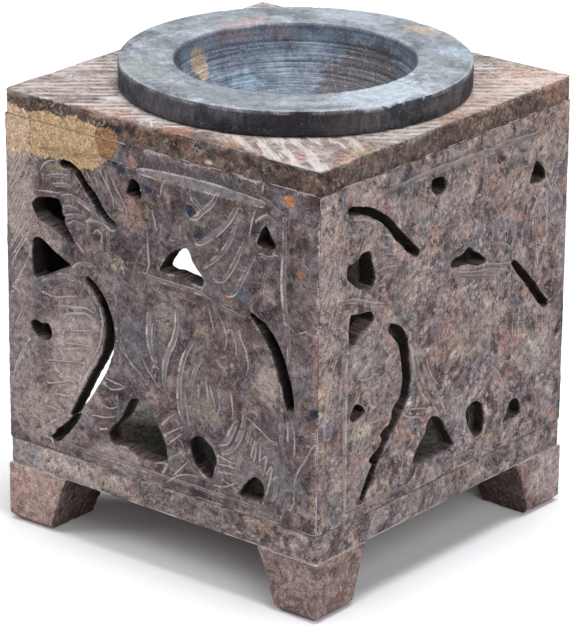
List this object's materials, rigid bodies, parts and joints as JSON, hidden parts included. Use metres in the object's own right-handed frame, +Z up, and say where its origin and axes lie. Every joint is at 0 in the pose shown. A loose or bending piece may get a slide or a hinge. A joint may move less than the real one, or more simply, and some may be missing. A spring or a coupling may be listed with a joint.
{
  "type": "carved soapstone oil burner",
  "caption": "Square stone oil burner with pierced elephant panels, an arched tealight doorway, tapered feet and a lift-off round dish.",
  "frame": {"origin": "middle of the square footprint, on the surface that the feet stand on", "axes": "+Z up, -Y out of the front carved panel, +X out of the right carved panel, and the doorway faces -X"},
  "size_m": [0.08, 0.08, 0.097],
  "materials": {
    "base_stone": "matte, sawn and mottled",
    "top_stone": "matte, with pale saw marks",
    "panel_stone": "matte, scratched, with pale carved lines",
    "foot_stone": "matte, sawn, reddish brown",
    "dish_stone": "matte, turned, blue grey"
  },
  "bodies": {
    "stone_body": {"base_slab": "base_stone", "top_slab": "top_stone", "front_panel": "panel_stone", "right_panel": "panel_stone", "back_panel": "panel_stone", "left_panel": "panel_stone", "foot_front_left": "foot_stone", "foot_front_right": "foot_stone", "foot_back_right": "foot_stone", "foot_back_left": "foot_stone"},
    "oil_dish": {"dish": "dish_stone"}
  },
  "joints": [
    {"name": "dish_lift", "type": "slide", "parent": "stone_body", "child": "oil_dish", "axis": [0, 0, 1], "range_m": [0, 0.03]}
  ]
}
